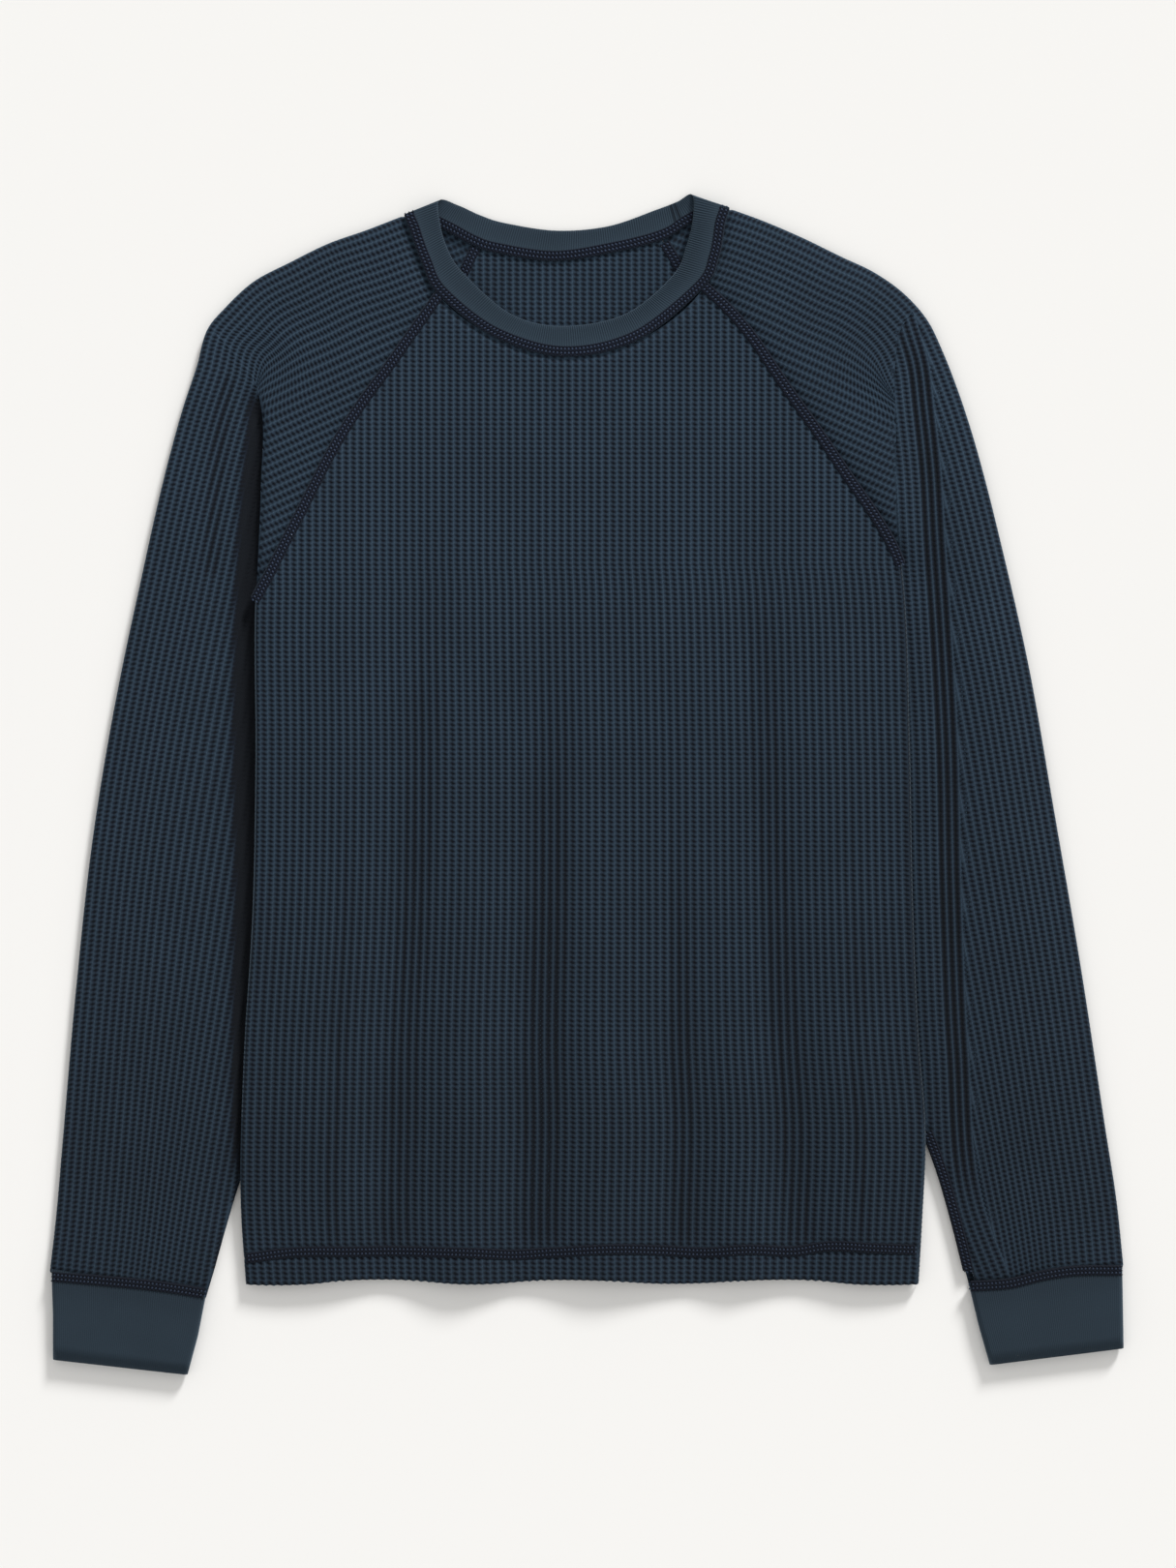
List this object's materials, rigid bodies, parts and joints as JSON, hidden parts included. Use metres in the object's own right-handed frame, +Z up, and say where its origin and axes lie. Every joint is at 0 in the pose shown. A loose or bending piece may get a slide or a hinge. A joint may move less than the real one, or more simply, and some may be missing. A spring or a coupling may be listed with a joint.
{
  "type": "thermal top",
  "caption": "Long-sleeve crew-neck raglan thermal top in waffle knit with ribbed collar and cuffs, laid flat and face up",
  "frame": {"origin": "middle of the laid garment's outline, on the surface that it lies on", "axes": "+X to the wearer's left sleeve as seen from above, +Y from hem to collar, +Z up out of the surface"},
  "size_m": [0.709, 0.7816, 0.0106],
  "materials": {
    "waffle_knit": "matte cotton waffle knit, dark navy",
    "rib_knit": "matte fine rib knit, dark navy"
  },
  "bodies": {
    "root": {"front": "waffle_knit", "back": "waffle_knit", "sleeve_left": "waffle_knit", "sleeve_right": "waffle_knit", "collar": "rib_knit", "cuff_left": "rib_knit", "cuff_right": "rib_knit"}
  },
  "joints": []
}
